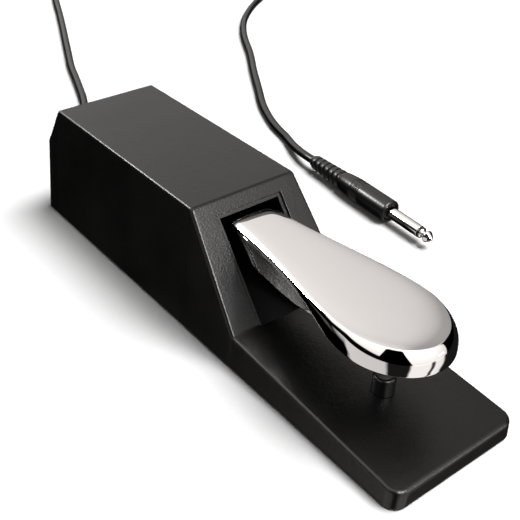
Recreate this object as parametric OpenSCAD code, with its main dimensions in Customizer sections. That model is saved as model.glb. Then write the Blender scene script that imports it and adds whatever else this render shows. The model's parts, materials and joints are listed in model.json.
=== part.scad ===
// Piano-style sustain pedal: a moulded housing with a long deck, a chrome treadle on a pivot pin,
// a return spring, a lever switch, a polarity slide switch and a cord that ends in a 6.35 mm plug.
// Millimetres. The origin is on the floor under the middle of the housing. +Z is up, +X is right,
// and the toe end of the treadle points to -Y.

/* [Housing] */
// Length of the housing, toe end to rear face
body_l = 260; // [250:1:275]
// Width of the housing at the floor
body_w = 67; // [66:1:72]
// Height of the housing
body_h = 60; // [60:1:66]
// How far each side wall leans in, per mm of height
side_lean = 0.09; // [0.07:0.01:0.1]
// Length of the flat top
top_l = 117; // [112:1:118]
// Length of the rear chamfer under the top, along Y
rear_cut_l = 12; // [8:1:14]
// Height at which the rear chamfer starts
rear_cut_z = 37; // [34:1:42]
// Length of the front slope, along Y
slope_l = 35; // [34:1:38]
// Height of the deck at the foot of the slope
deck_rear_z = 16; // [15:0.5:17]
// Height of the deck at its front edge
deck_front_z = 9; // [8.5:0.5:10]
// Wall thickness
wall_t = 2.6; // [2.4:0.1:3]
// Width of the opening in the slope
slot_w = 35; // [34:0.5:37]
// Height of the top edge of the opening
slot_top_z = 54.9; // [54.5:0.1:55.5]

/* [Treadle] */
// Highest point of the crowned treadle
treadle_top_z = 51; // [50.5:0.1:51.2]
// Width across the toe
toe_w = 46; // [42:1:50]
// Width of the arm inside the housing
arm_w = 20; // [19:0.5:21]
// Sheet thickness of the top and the side walls
treadle_t = 2.5; // [2:0.1:2.6]
// Height of the lower rim at the toe
rim_z = 41; // [40.5:0.1:42]
// Distance from the origin back to the pivot pin
pivot_y = 75; // [74:1:77]
// Height of the pivot pin
pivot_z = 40; // [39.5:0.5:40.5]

/* [Base] */
// Thickness of the rubber mat
mat_t = 1.5; // [1.2:0.1:1.5]
// Thickness of the steel plate
plate_t = 1.5; // [1.2:0.1:1.5]

/* [Cord and plug] */
// Diameter of the cord
cord_d = 5; // [4.6:0.1:5]
// Diameter of the plug's contact shaft
jack_d = 6.35; // [6.3:0.05:6.35]
// Diameter of the plug's grip
grip_d = 12.6; // [12:0.1:13]

/* [Hidden] */

$fn = 48;
eps = 0.01;
gap = 0.3; // clearance between parts that move past each other

black = [0.07, 0.07, 0.07];
satin_black = [0.20, 0.19, 0.18];
rubber = [0.12, 0.12, 0.12];
chrome = [0.86, 0.86, 0.85];
steel = [0.62, 0.63, 0.65];
nylon = [0.90, 0.89, 0.84];
copper = [0.80, 0.50, 0.30];

half_l = body_l / 2;
half_w = body_w / 2;
rear_top_y = half_l - rear_cut_l;
front_top_y = rear_top_y - top_l;
slope_y = front_top_y - slope_l;
housing_z0 = 0.5; // the mat stands this far below the housing's rim
plate_z0 = mat_t;
plate_z1 = mat_t + plate_t;

// ---------- shared shapes ----------

// A polygon's points with every corner rounded to its own radius, as n short chords
function unit(v) = v / norm(v);
function wrapped(a) = a > 180 ? a - 360 : a < -180 ? a + 360 : a;
function corner_arc(p0, p1, p2, r, n) =
  let (u = unit(p0 - p1), v = unit(p2 - p1), half = acos(u * v) / 2)
  r == 0 ? [p1] :
  let (
    c = p1 + unit(u + v) * r / sin(half),
    t1 = p1 + u * r / tan(half) - c,
    t2 = p1 + v * r / tan(half) - c,
    a1 = atan2(t1.y, t1.x),
    turn = wrapped(atan2(t2.y, t2.x) - a1)
  )
  [for (i = [0:n]) c + r * [cos(a1 + turn * i / n), sin(a1 + turn * i / n)]];
function rounded(pts, radii, n = 5) =
  let (m = len(pts))
  [for (i = [0:m - 1]) each corner_arc(pts[(i + m - 1) % m], pts[i], pts[(i + 1) % m], radii[i], n)];

// Extrude a Y-Z outline along X, centred on X = 0
module along_x(width) {
  rotate([90, 0, 90])
    linear_extrude(width, center = true)
      children();
}

// Extrude an X-Z outline along Y, from y0 to y1
module along_y(y0, y1) {
  translate([0, y1, 0])
    rotate([90, 0, 0])
      linear_extrude(y1 - y0)
        children();
}

// A cylinder along X
module rod_x(r, x0, x1) {
  translate([x0, 0, 0])
    rotate([0, 90, 0])
      cylinder(r = r, h = x1 - x0);
}

module mirror_x() {
  children();
  mirror([1, 0, 0])
    children();
}

// A block given by its two corners
module block(low, high) {
  translate(low)
    cube(high - low);
}

// Smooth curve through hand-set points: Catmull-Rom with k steps per span
function spline_at(p, i, t) =
  let (
    a = p[max(i - 1, 0)],
    b = p[i],
    c = p[i + 1],
    d = p[min(i + 2, len(p) - 1)]
  )
  0.5 * (2 * b + (c - a) * t + (2 * a - 5 * b + 4 * c - d) * t * t + (3 * b - a - 3 * c + d) * t * t * t);
function smooth_route(p, k) =
  [for (i = [0:len(p) - 2]) for (j = [0:k - 1]) spline_at(p, i, j / k), p[len(p) - 1]];

// A round tube swept along a route; every ring stands square to the route and has one flat side down
module swept_tube(route, r, sides) {
  n = len(route);
  heading = [for (i = [0:n - 1]) unit(route[min(i + 1, n - 1)] - route[max(i - 1, 0)])];
  side = [for (h = heading) unit(cross(h, abs(h.z) > 0.9 ? [1, 0, 0] : [0, 0, 1]))];
  rings = [
    for (i = [0:n - 1])
      for (k = [0:sides - 1])
        let (a = 360 * (k + 0.5) / sides, up = cross(side[i], heading[i]))
        route[i] + r * (cos(a) * side[i] + sin(a) * up)
  ];
  walls = [
    for (i = [0:n - 2])
      for (k = [0:sides - 1])
        let (a = i * sides + k, b = i * sides + (k + 1) % sides)
        each [[a, a + sides, b], [b, a + sides, b + sides]]
  ];
  first = [for (k = [0:sides - 1]) k];
  last = [for (k = [sides - 1:-1:0]) (n - 1) * sides + k];
  polyhedron(rings, concat([first, last], walls));
}

// ---------- housing ----------

side_profile = [
  [-half_l, 0],
  [half_l, 0],
  [half_l, rear_cut_z],
  [rear_top_y, body_h],
  [front_top_y, body_h],
  [slope_y, deck_rear_z],
  [-half_l, deck_front_z]
];
profile_radii = [0, 0, 3, 3, 2.5, 1.5, 2];
slope_angle = atan2(body_h - deck_rear_z, slope_l);
deck_l = slope_y + half_l;
deck_angle = atan2(deck_rear_z - deck_front_z, deck_l);
rear_cut_angle = atan2(body_h - rear_cut_z, rear_cut_l);

// The same profile set in by the wall thickness, open at the bottom
inner_profile = [
  [-half_l + wall_t, -1],
  [half_l - wall_t, -1],
  [half_l - wall_t, rear_cut_z - wall_t / tan((90 + rear_cut_angle) / 2) * 0.5],
  [rear_top_y - wall_t * tan(rear_cut_angle / 2), body_h - wall_t],
  [front_top_y + wall_t * tan(slope_angle / 2), body_h - wall_t],
  [slope_y + wall_t * tan((slope_angle - deck_angle) / 2) * 0.8, deck_rear_z - wall_t],
  [-half_l + wall_t, deck_front_z - wall_t]
];

plan_front_r = 6;
plan_rear_r = 3;
module plan(inset, height) {
  w = half_w - inset;
  l = half_l - inset;
  rf = plan_front_r - inset;
  rr = max(plan_rear_r - inset, 0.5);
  linear_extrude(height)
    polygon(rounded([[-w, -l], [w, -l], [w, l], [-w, l]], [rf, rf, rr, rr]));
}

module cross_section(inset, top_r) {
  foot = half_w - inset;
  head = half_w - side_lean * body_h - inset;
  z1 = body_h - inset;
  polygon(rounded([[-foot, -1], [foot, -1], [head, z1], [-head, z1]], [0, 0, top_r, top_r]));
}

// Screw bosses, each pair at the same Y; the last value is the boss's top height
boss_x = 24;
boss_ys = [-118, -45, 34, 119];
boss_r = 3.5;
screw_r = 1.45;
module at_bosses() {
  for (y = boss_ys)
    for (x = [-boss_x, boss_x])
      translate([x, y, 0])
        children();
}

bumper_y = -90;
bumper_r = 4.7;
bumper_z0 = 11.5;
bumper_stem_r = 2.5;
relief_x = 16;
relief_z = 14;
relief_neck_r = 4.2;

// The opening in the slope: a shallow outer recess, then a smaller inner window that leaves a lip
slot_lip = 1.6;
slot_lip_depth = 1.2;
slot_run = (slot_top_z - deck_rear_z) / sin(slope_angle);
module slot_cut() {
  translate([0, slope_y, deck_rear_z])
    rotate([slope_angle, 0, 0]) {
      block([-slot_w / 2, -1, -slot_lip_depth], [slot_w / 2, slot_run, 5]);
      block([-slot_w / 2 + slot_lip, -1, -wall_t - 6], [slot_w / 2 - slot_lip, slot_run - slot_lip, 5]);
    }
}

module housing_outer() {
  intersection() {
    along_x(body_w + 2)
      polygon(rounded(side_profile, profile_radii));
    along_y(-half_l - 1, half_l + 1)
      cross_section(0, 2.2);
    translate([0, 0, housing_z0])
      plan(0, body_h);
  }
}

module housing_inner() {
  intersection() {
    along_x(body_w)
      polygon(inner_profile);
    along_y(-half_l, half_l)
      cross_section(wall_t, 1);
    translate([0, 0, -1])
      plan(wall_t, body_h + 2);
  }
}

module housing() {
  color(satin_black)
    difference() {
      union() {
        difference() {
          housing_outer();
          housing_inner();
          slot_cut();
        }
        intersection() {
          housing_outer();
          at_bosses()
            translate([0, 0, plate_z1])
              cylinder(r = boss_r, h = body_h);
        }
      }
      at_bosses()
        translate([0, 0, plate_z1 - 1])
          cylinder(r = screw_r + 0.05, h = 5.5);
      translate([0, bumper_y, bumper_z0])
        cylinder(r = bumper_r + 0.2, h = 5);
      translate([0, bumper_y, 0])
        cylinder(r = bumper_stem_r + 0.05, h = 20);
      translate([relief_x, half_l, relief_z])
        rotate([90, 0, 0])
          cylinder(r = relief_neck_r + 0.05, h = 10, center = true);
    }
}

// ---------- base ----------

polarity_y = 100;
seat_y = 25;
rivet_r = 1.6;
// X and Y of the rivets: four hold the pivot bracket and two the switch bracket
rivet_spots = [
  [-8, pivot_y - 6], [8, pivot_y - 6], [-8, pivot_y + 6], [8, pivot_y + 6],
  [10, 49], [10, 59]
];
polarity_screw_x = 8.8;
clamp_y = 109;
clamp_screw_x = 6;
plate_edge = wall_t + 0.4;

module base_plate() {
  color(steel)
    difference() {
      translate([0, 0, plate_z0])
        plan(plate_edge, plate_t);
      at_bosses()
        cylinder(r = screw_r + 0.2, h = 10);
      for (p = rivet_spots)
        translate([p.x, p.y, 0])
          cylinder(r = rivet_r, h = 10);
      translate([0, seat_y, 0])
        cylinder(r = 2.5, h = 10);
      translate([0, polarity_y, plate_z0 + plate_t / 2])
        cube([7.4, 3.2, 4], center = true);
    }
}

module base_mat() {
  color(rubber)
    difference() {
      plan(plate_edge + 1, mat_t);
      at_bosses()
        translate([0, 0, -1])
          cylinder(r = 3.6, h = 5);
      translate([0, polarity_y, 0])
        cube([16, 9, 6], center = true);
      // shallow grip grooves across the underside
      for (y = [-100:20:80])
        translate([0, y, 0])
          cube([body_w, 2, 1.2], center = true);
    }
}

module base_screws() {
  color(steel)
    at_bosses() {
      translate([0, 0, 0.2])
        difference() {
          cylinder(r1 = 2.4, r2 = 2.9, h = plate_z0 - 0.2);
          translate([0, 0, -eps])
            cylinder(r = 1.1, h = 0.8, $fn = 6);
        }
      translate([0, 0, plate_z0])
        cylinder(r = screw_r, h = 5.8);
    }
}

// ---------- stops ----------

bumper_h = 8.8;
module stop_bumper() {
  rim_r = 1.1;
  color(rubber)
    translate([0, bumper_y, bumper_z0])
      difference() {
        union() {
          rotate_extrude()
            polygon([
              [0, 0], [bumper_r, 0], [bumper_r, bumper_h - rim_r],
              for (a = [15:15:75]) [bumper_r - rim_r + rim_r * cos(a), bumper_h - rim_r + rim_r * sin(a)],
              [bumper_r - rim_r, bumper_h], [0, bumper_h]
            ]);
          translate([0, 0, -2.4])
            cylinder(r = bumper_stem_r, h = 3);
        }
        translate([0, 0, -5])
          cylinder(r = 1.25, h = 9.5);
      }
}

module bumper_screw() {
  color(steel)
    translate([0, bumper_y, 0]) {
      translate([0, 0, bumper_z0 - 4.5])
        cylinder(r = 3.6, h = 1.9);
      translate([0, 0, bumper_z0 - 2.6])
        cylinder(r = 1.2, h = 6.5);
    }
}

pad_y = 15;
module up_stop_pad() {
  color(rubber)
    block([-9, pad_y - 7, treadle_top_z + gap], [9, pad_y + 7, body_h - wall_t]);
}

// ---------- treadle ----------

pivot_boss_r = 8;
bush_r = 4.5;
bush_flange_t = 1.2;
pin_r = 3;
toe_y = -114; // foremost point of the toe
toe_half = toe_w / 2;
toe_arc_y = -85;
toe_depth = toe_arc_y - toe_y;
neck_y = -8;
plate_end_y = 6; // the wider top plate ends here, inside the housing
arm_half = arm_w / 2;
web_step = 1.6; // how far the web stands in from the rim
crown_r = 190;

// Right side of the treadle's plan, from the neck to the toe: X half width and Y
neck_side = [[arm_half + web_step, neck_y], [14.3, -33], [18.3, -60], [toe_half - 1, -77]];

// Plan of the treadle set in by d and ended at back_y: a neck that widens into a round toe
function treadle_plan(d, back_y) =
  let (
    right = concat([[neck_side[0].x, back_y]], neck_side),
    toe = [
      for (a = [0:10:180])
        [(toe_half - d) * cos(a), toe_arc_y - (toe_depth - d) * sin(a)]
    ]
  )
  concat(
    [for (p = right) [p.x - d, p.y]],
    toe,
    [for (i = [len(right) - 1:-1:0]) [d - right[i].x, right[i].y]]
  );

// Side view of the rim: thin at the neck, deep round the toe
rim_side = [
  [toe_y - 1, rim_z], [-72, rim_z], [-64, rim_z + 1.4], [-42, rim_z + 4.8], [-14, rim_z + 6.8],
  [plate_end_y + 1, rim_z + 7.2], [plate_end_y + 1, body_h], [toe_y - 1, body_h]
];
// Side view of the web and the arm: deepest under the neck, then straight back to the pivot
web_side = [
  [-72, rim_z + 2], [-64, rim_z + 0.3], [-53, rim_z - 2.3], [-40, rim_z - 3.7], [-28, rim_z - 3],
  [-14, rim_z], [52, rim_z], [pivot_y - 4, pivot_z - pivot_boss_r + 1], [pivot_y, pivot_z - pivot_boss_r],
  [pivot_y, body_h], [-72, body_h]
];
stop_boss_r = 7;
tab_y = 50; // the tab that works the switch

module treadle() {
  top_under = treadle_top_z - treadle_t - 1;
  inner = arm_half - treadle_t;
  color(chrome)
    difference() {
      union() {
        intersection() {
          difference() {
            union() {
              intersection() {
                linear_extrude(body_h)
                  polygon(treadle_plan(0, plate_end_y));
                along_x(body_w)
                  polygon(rim_side);
              }
              intersection() {
                linear_extrude(body_h)
                  polygon(treadle_plan(web_step, pivot_y));
                along_x(body_w)
                  polygon(web_side);
              }
            }
            translate([0, 0, -1])
              linear_extrude(top_under + 1)
                polygon(treadle_plan(web_step + treadle_t, pivot_y + 1));
          }
          translate([0, 0, treadle_top_z - crown_r])
            rotate([90, 0, 0])
              cylinder(r = crown_r, h = 400, center = true, $fn = 360);
        }
        // round ends of the two side walls, about the pivot
        mirror_x()
          translate([0, pivot_y, pivot_z])
            rod_x(pivot_boss_r, inner, arm_half);
        // boss that lands on the bumper
        translate([0, bumper_y, rim_z])
          cylinder(r = stop_boss_r, h = top_under - rim_z + 0.5);
        // tab that presses the switch lever
        block([-inner - eps, tab_y - 1, rim_z], [inner + eps, tab_y + 1, top_under + 0.5]);
      }
      translate([0, pivot_y, pivot_z])
        rod_x(bush_r, -arm_half - 1, arm_half + 1);
    }
}

module treadle_bushes() {
  color(nylon)
    mirror_x()
      translate([0, pivot_y, pivot_z])
        difference() {
          union() {
            rod_x(bush_r, arm_half - treadle_t, arm_half + eps);
            rod_x(bush_r + 1.5, arm_half, arm_half + bush_flange_t);
          }
          rod_x(pin_r + 0.05, 0, arm_half + 5);
        }
}

// ---------- pivot ----------

ear_x = arm_half + bush_flange_t + gap; // inner face of each ear
ear_t = 2;
bracket_t = 2;
clip_x = ear_x + ear_t + 0.1;
clip_t = 0.8;
groove_r = 2.2;

module pivot_pin() {
  end_x = clip_x + clip_t + 1;
  color(steel)
    translate([0, pivot_y, pivot_z])
      difference() {
        rod_x(pin_r, -end_x, end_x);
        mirror_x()
          difference() {
            rod_x(pin_r + 1, clip_x, clip_x + clip_t);
            rod_x(groove_r, 0, end_x);
          }
      }
}

module pin_clips() {
  color(steel)
    mirror_x()
      translate([0, pivot_y, pivot_z])
        difference() {
          rod_x(5, clip_x + 0.05, clip_x + clip_t - 0.05);
          rod_x(groove_r, 0, 30);
          block([0, -groove_r, -10], [30, groove_r, 0]);
        }
}

module pivot_bracket() {
  color(steel)
    difference() {
      union() {
        block([-ear_x - ear_t, pivot_y - 11, plate_z1], [ear_x + ear_t, pivot_y + 11, plate_z1 + bracket_t]);
        mirror_x()
          translate([ear_x, 0, 0])
            rotate([90, 0, 90])
              linear_extrude(ear_t)
                polygon([
                  [pivot_y - 11, plate_z1], [pivot_y + 11, plate_z1],
                  for (a = [10:10:170]) [pivot_y + 7 * cos(a), pivot_z + 7 * sin(a)]
                ]);
      }
      translate([0, pivot_y, pivot_z])
        rod_x(pin_r, -40, 40);
      for (i = [0:3])
        translate([rivet_spots[i].x, rivet_spots[i].y, 0])
          cylinder(r = rivet_r, h = 10);
    }
}

module bracket_rivets() {
  color(steel)
    for (p = rivet_spots)
      translate([p.x, p.y, plate_z0]) {
        cylinder(r = rivet_r, h = plate_t + bracket_t + eps);
        translate([0, 0, plate_t + bracket_t])
          cylinder(r1 = 3, r2 = 2.2, h = 1.4);
      }
}

// ---------- spring ----------

seat_t = 2;
cap_t = 3;
cap_z = treadle_top_z - treadle_t - 1 - cap_t;
spring_r = 5.6; // to the middle of the wire
spring_wire = 1.8;
spring_turns = 7;
spring_z0 = plate_z1 + seat_t;

module return_spring() {
  low = spring_z0 + spring_wire / 2 + 0.1;
  high = cap_z - spring_wire / 2 - 0.1;
  // the first and last turn lie nearly flat, the others share the height
  closed = 0.9;
  steps = spring_turns * 16;
  function rise(t) =
    t < closed ? spring_wire * t / closed :
    t > spring_turns - closed ? high - low - spring_wire * (spring_turns - t) / closed :
    spring_wire + (high - low - 2 * spring_wire) * (t - closed) / (spring_turns - 2 * closed);
  coil = [
    for (i = [0:steps])
      let (t = spring_turns * i / steps)
      [spring_r * cos(360 * t), seat_y + spring_r * sin(360 * t), low + rise(t)]
  ];
  color(steel)
    swept_tube(coil, spring_wire / 2, 8);
}

module spring_seat() {
  color(nylon)
    translate([0, seat_y, 0]) {
      translate([0, 0, plate_z1])
        cylinder(r = 9, h = seat_t);
      translate([0, 0, spring_z0 - eps])
        cylinder(r1 = 4.2, r2 = 3.6, h = 5);
      translate([0, 0, plate_z0])
        cylinder(r = 2.5, h = plate_t + eps);
    }
}

module spring_cap() {
  color(nylon)
    translate([0, seat_y, cap_z]) {
      cylinder(r = 7.2, h = cap_t);
      translate([0, 0, -4])
        cylinder(r1 = 3.6, r2 = 4.2, h = 4 + eps);
    }
}

// ---------- lever switch under the arm ----------

switch_w = 6.4;
switch_l = 20;
switch_y0 = 46;
switch_z0 = 26;
switch_bracket_l = 17;
switch_z1 = 36;
lever_y = 64;
lever_z = 37.6;
lever_rod_r = 0.8;
lever_tilt = 10.9;
lever_l = 17;
plunger_y = 57;
plunger_r = 1.4;
plunger_top_z = 38.2;
switch_screw_r = 1;
switch_screw_ys = [50, 60];
switch_screw_z = 29;

module switch_body() {
  half = switch_w / 2;
  color(black)
    difference() {
      union() {
        block([-half, switch_y0, switch_z0], [half, switch_y0 + switch_l, switch_z1]);
        // two small ears carry the lever
        mirror_x()
          block([half - 0.9, lever_y - 1.6, switch_z1 - eps], [half, lever_y + 1.6, lever_z + 1.4]);
      }
      translate([0, lever_y, lever_z])
        rod_x(lever_rod_r + 0.05, -half - 1, half + 1);
      translate([0, plunger_y, switch_z1 - 5])
        cylinder(r = plunger_r + 0.08, h = 6);
      for (y = switch_screw_ys)
        translate([0, y, switch_screw_z])
          rod_x(switch_screw_r, -half - 1, half + 1);
    }
}

module switch_lever() {
  half = switch_w / 2;
  color(steel)
    translate([0, lever_y, lever_z]) {
      rod_x(lever_rod_r, -half, half);
      rotate([-lever_tilt, 0, 0])
        block([-half + 1.2, -lever_l, -0.2], [half - 1.2, 0, 0.2]);
    }
}

module switch_plunger() {
  color([0.75, 0.15, 0.12])
    translate([0, plunger_y, switch_z1 - 2.2])
      cylinder(r = plunger_r, h = plunger_top_z - switch_z1 + 2.2);
}

terminal_ys = [49, 56, 63];
module switch_terminals() {
  color(copper)
    for (y = terminal_ys)
      block([-0.3, y - 1.4, switch_z0 - 5], [0.3, y + 1.4, switch_z0]);
}

module switch_bracket() {
  x0 = switch_w / 2;
  color(steel)
    difference() {
      union() {
        block([x0, switch_y0, plate_z1], [x0 + bracket_t, switch_y0 + switch_bracket_l, switch_z1 - 1]);
        block([x0, switch_y0, plate_z1], [x0 + 11, switch_y0 + switch_bracket_l, plate_z1 + bracket_t]);
      }
      for (y = switch_screw_ys)
        translate([0, y, switch_screw_z])
          rod_x(switch_screw_r, 0, 20);
      for (i = [4, 5])
        translate([rivet_spots[i].x, rivet_spots[i].y, 0])
          cylinder(r = rivet_r, h = 10);
    }
}

module switch_screws() {
  half = switch_w / 2;
  color(steel)
    for (y = switch_screw_ys)
      translate([0, y, switch_screw_z]) {
        rod_x(switch_screw_r, -half, half + bracket_t);
        rod_x(1.9, -half - 1.2, -half);
      }
}

// ---------- polarity slide switch in the base plate ----------

polarity_z1 = 9.5;
slide_travel = 4;
module polarity_switch_body() {
  color(steel)
    translate([0, polarity_y, 0])
      difference() {
        union() {
          block([-6.5, -3.5, plate_z1], [6.5, 3.5, polarity_z1]);
          block([-11.5, -3.5, plate_z1], [11.5, 3.5, plate_z1 + 1]);
        }
        block([-4.9, -2.1, 0], [4.9, 2.1, plate_z1 + 2.6]);
        for (x = [-polarity_screw_x, polarity_screw_x])
          translate([x, 0, 0])
            cylinder(r = 1, h = 10);
      }
}

module polarity_slider() {
  rest_x = -slide_travel / 2;
  color(black)
    translate([rest_x, polarity_y, 0]) {
      block([-2.5, -1.8, plate_z1 + 0.4], [2.5, 1.8, plate_z1 + 2.2]);
      block([-1.3, -1.2, 0.5], [1.3, 1.2, plate_z1 + 0.5]);
    }
}

module polarity_screws() {
  color(steel)
    for (x = [-polarity_screw_x, polarity_screw_x])
      translate([x, polarity_y, 0]) {
        translate([0, 0, plate_z1])
          cylinder(r = 1, h = 1 + eps);
        translate([0, 0, plate_z1 + 1])
          cylinder(r1 = 2, r2 = 1.5, h = 1.2);
      }
}

// ---------- cord entry ----------

relief_l = 30;
cord_r = cord_d / 2;
cord_end_y = 104; // bare end of the cord inside the housing

module strain_relief() {
  neck_y0 = -wall_t;
  color(rubber)
    translate([relief_x, half_l, relief_z])
      rotate([-90, 0, 0])
        rotate_extrude()
          polygon([
            [cord_r, neck_y0 - 2], [6, neck_y0 - 2], [6, neck_y0], [relief_neck_r, neck_y0],
            [relief_neck_r, 0], [6, 0], [6, 2], [4.6, 2.8],
            // rings that let the sleeve bend
            for (i = [0:4])
              let (y = 5 + i * 5, r = 4.5 - i * 0.22)
              each [[r, y], [r, y + 2.2], [r - 0.6, y + 2.6], [r - 0.6, y + 4.4]],
            [3.3, relief_l], [cord_r, relief_l]
          ]);
}

clamp_half_w = 10;
clamp_half_l = 3.5;
clamp_bar_t = 4.4;
clamp_screw_r = 1.2;
module clamp_block(z0, z1) {
  difference() {
    translate([relief_x, clamp_y, 0])
      block([-clamp_half_w, -clamp_half_l, z0], [clamp_half_w, clamp_half_l, z1]);
    translate([relief_x, clamp_y, relief_z])
      rotate([90, 0, 0])
        cylinder(r = cord_r, h = 20, center = true);
  }
}

module clamp_base() {
  color(black)
    difference() {
      clamp_block(plate_z1, relief_z - 0.2);
      for (x = [-clamp_screw_x, clamp_screw_x])
        translate([relief_x + x, clamp_y, relief_z - 8])
          cylinder(r = clamp_screw_r, h = 20);
    }
}

module clamp_bar() {
  color(black)
    difference() {
      clamp_block(relief_z + 0.2, relief_z + clamp_bar_t);
      for (x = [-clamp_screw_x, clamp_screw_x])
        translate([relief_x + x, clamp_y, 0])
          cylinder(r = clamp_screw_r, h = 40);
    }
}

module clamp_screws() {
  color(steel)
    for (x = [-clamp_screw_x, clamp_screw_x])
      translate([relief_x + x, clamp_y, 0]) {
        translate([0, 0, relief_z - 6])
          cylinder(r = clamp_screw_r - 0.03, h = 6 + clamp_bar_t + eps);
        translate([0, 0, relief_z + clamp_bar_t])
          cylinder(r1 = 2.2, r2 = 1.6, h = 1.3);
      }
}

wire_r = 0.7;
// Two wires run from the cord's end to the polarity switch
cord_wire_routes = [
  [[relief_x - 1, cord_end_y, 14], [12.5, 102, 14], [8, 100.5, 12.5], [4.5, 100.3, 11], [4, 100, 9.6]],
  [[relief_x + 1, cord_end_y, 14], [15, 99, 15.5], [9, 97.5, 14.5], [3, 98, 12.5], [1, 100, 9.6]]
];
// Two more run on from there, between the ears of the pivot bracket, to the lever switch
switch_wire_routes = [
  [[-2, 100, 9.6], [-3, 96, 12], [-6, 90, 10], [-7, 80, 8.5], [-7, 70, 8.5], [-5, 62, 14], [-2.2, 57, 19],
    [-1, 56, 22.5]],
  [[-5, 100, 9.6], [-7, 96, 11], [-9.5, 90, 9], [-10, 80, 9], [-10, 68, 10], [-8, 56, 15], [-3, 50.5, 19],
    [-1, 49, 22.5]]
];

module cord_wires() {
  color([0.75, 0.12, 0.1])
    for (r = cord_wire_routes)
      swept_tube(smooth_route(r, 3), wire_r, 6);
}

module switch_wires() {
  color([0.85, 0.85, 0.82])
    for (r = switch_wire_routes)
      swept_tube(smooth_route(r, 3), wire_r, 6);
}

// ---------- cord ----------

coil_x = 285;
coil_y = 395;
coil_lift = 0.8; // the tie under the coil lifts it this far
coil_mid_r = 27.5;
coil_wide = 3; // turns side by side in the lower layer

// From the strain relief along the floor and round to the coil
rear_route = [
  [16, 160, 14], [16, 168, 13.6], [18, 178, 11.6], [22, 189, 8.4], [28, 201, 5], [35, 213, 2.8],
  [42, 225, 2.5], [48, 238, 2.5], [53, 251, 2.5], [59, 267, 2.5], [67, 289, 2.5], [78, 314, 2.5],
  [89, 339, 2.5], [101, 366, 2.5], [114, 396, 2.5], [127, 427, 2.5], [137, 446, 2.5], [152, 458, 2.5],
  [172, 462, 2.5], [196, 457, 2.5], [222, 446, 2.5], [246, 436, 2.5], [266, 429.5, 3], [285, 427.5, 3.3]
];
// From the top of the coil over its outer turn and along the floor to the plug
plug_route = [
  [315, 395, 7.6], [317, 382, 8], [318.5, 368, 5.2], [316, 355, 2.9], [308, 345.5, 2.5],
  [296, 339.5, 2.5], [283, 334, 2.5], [270, 327, 2.5], [250, 313, 2.5], [227, 292, 2.5],
  [207, 266, 2.5], [188, 234, 2.5], [170, 207, 2.5], [153, 180, 2.5], [138, 156, 2.5], [127, 132, 2.5],
  [121.5, 113, 2.5], [117.5, 103, 3.2], [113.6, 93, 4.8], [110.9, 83, 6.1], [110.3, 75, 6.3]
];

module cord_rear_run() {
  inside = [[relief_x, cord_end_y, relief_z], [relief_x, 130, relief_z], [relief_x, 152, relief_z]];
  color(black)
    swept_tube(smooth_route(concat(inside, rear_route), 2), cord_r, 8);
}

module cord_plug_run() {
  color(black)
    swept_tube(smooth_route(plug_route, 2), cord_r, 8);
}

module cord_coil() {
  half = coil_wide * cord_d / 2;
  high = cord_d * (1 + sqrt(3) / 2);
  color(black)
    translate([coil_x, coil_y, coil_lift])
      rotate_extrude()
        polygon([
          [coil_mid_r - half, 0], [coil_mid_r + half, 0], [coil_mid_r + half, cord_d * 0.7],
          [coil_mid_r + half - cord_d / 2, high], [coil_mid_r - half + cord_d / 2, high],
          [coil_mid_r - half, cord_d * 0.7]
        ]);
}

tie_t = 0.7;
tie_w = 6;
tie_angle = 215;
module coil_tie() {
  half = coil_wide * cord_d / 2;
  high = cord_d * (1 + sqrt(3) / 2);
  color(rubber)
    translate([coil_x, coil_y, coil_lift])
      rotate([0, 0, tie_angle])
        difference() {
          block([coil_mid_r - half - tie_t - 0.3, -tie_w / 2, -tie_t],
            [coil_mid_r + half + tie_t + 0.3, tie_w / 2, high + tie_t]);
          block([coil_mid_r - half - 0.3, -tie_w, -0.02], [coil_mid_r + half + 0.3, tie_w, high + 0.05]);
        }
}

// ---------- plug ----------

plug_start = [110.3, 75, 6.3];
plug_turn = -4; // heading of the plug, turned from -Y
boot_l = 27;
cone_l = 13;
grip_l = 40;
sleeve_l = 22.5;
jack_r = jack_d / 2;

// Along the plug's axis: the children are turned round it, with their length along +Y of the outline
module on_plug(s) {
  translate(plug_start)
    rotate([0, 0, plug_turn])
      translate([0, -s, 0])
        rotate([90, 0, 0])
          rotate_extrude()
            children();
}

module plug_boot() {
  color(rubber)
    on_plug(0)
      polygon([
        [0, 0], [3.1, 0],
        for (i = [0:4])
          let (y = 2.5 + i * 4.8, r = 3.9 + i * 0.2)
          each [[r - 0.7, y - 0.6], [r, y], [r, y + 2.4], [r - 0.7, y + 3]],
        [4.4, boot_l], [0, boot_l]
      ]);
}

module plug_grip() {
  r = grip_d / 2;
  groove = 0.35;
  band_s = cone_l - 2; // where the band of fine grooves starts
  color(rubber)
    on_plug(boot_l)
      polygon([
        [0, 0], [4.8, 0], [5.1, 1], [r - 0.3, band_s - 0.6],
        for (i = [0:5])
          let (s = band_s + i * 1.3)
          each [[r - groove, s - 0.3], [r - groove, s + 0.3], [r, s + 0.4], [r, s + 0.9]],
        [r, grip_l - 1], [r - 1, grip_l], [0, grip_l]
      ]);
}

module plug_sleeve() {
  color(chrome)
    on_plug(boot_l + grip_l)
      polygon([[0, 0], [4.2, 0], [4.2, 0.8], [jack_r, 0.8], [jack_r, sleeve_l], [0, sleeve_l]]);
}

module plug_insulator() {
  color(black)
    on_plug(boot_l + grip_l + sleeve_l)
      polygon([[0, 0], [jack_r, 0], [jack_r, 1.2], [0, 1.2]]);
}

module plug_tip() {
  color(chrome)
    on_plug(boot_l + grip_l + sleeve_l + 1.2)
      polygon([
        [0, 0], [2.3, 0], [2.1, 1.4], [jack_r - 0.4, 3], [jack_r, 3.4], [jack_r, 4],
        [1.3, 7.4], [0.9, 7.8], [0, 7.8]
      ]);
}

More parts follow.
